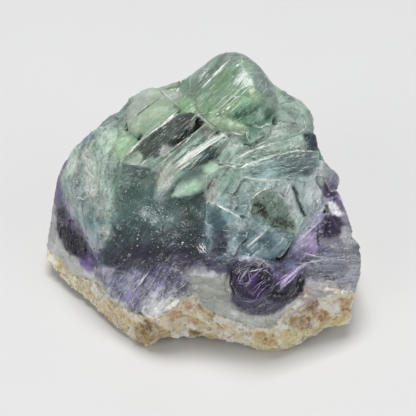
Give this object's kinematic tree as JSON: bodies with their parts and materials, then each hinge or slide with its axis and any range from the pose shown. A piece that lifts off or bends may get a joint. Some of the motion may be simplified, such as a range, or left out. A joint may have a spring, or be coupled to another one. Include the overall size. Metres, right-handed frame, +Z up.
{
  "type": "fluorite freeform",
  "caption": "Free-standing natural fluorite mass of intergrown crystals on a granular quartz crust, rests upright on its flat foot as a display specimen.",
  "frame": {"origin": "centre of the bounding box, at the bottom of the resting foot", "axes": "+Z up, +X to the right along the widest extent, -Y towards the pictured front"},
  "size_m": [0.0914, 0.0768, 0.0721],
  "materials": {
    "fluorite": "satin"
  },
  "bodies": {
    "root": {"fluorite_freeform": "fluorite"}
  },
  "joints": []
}
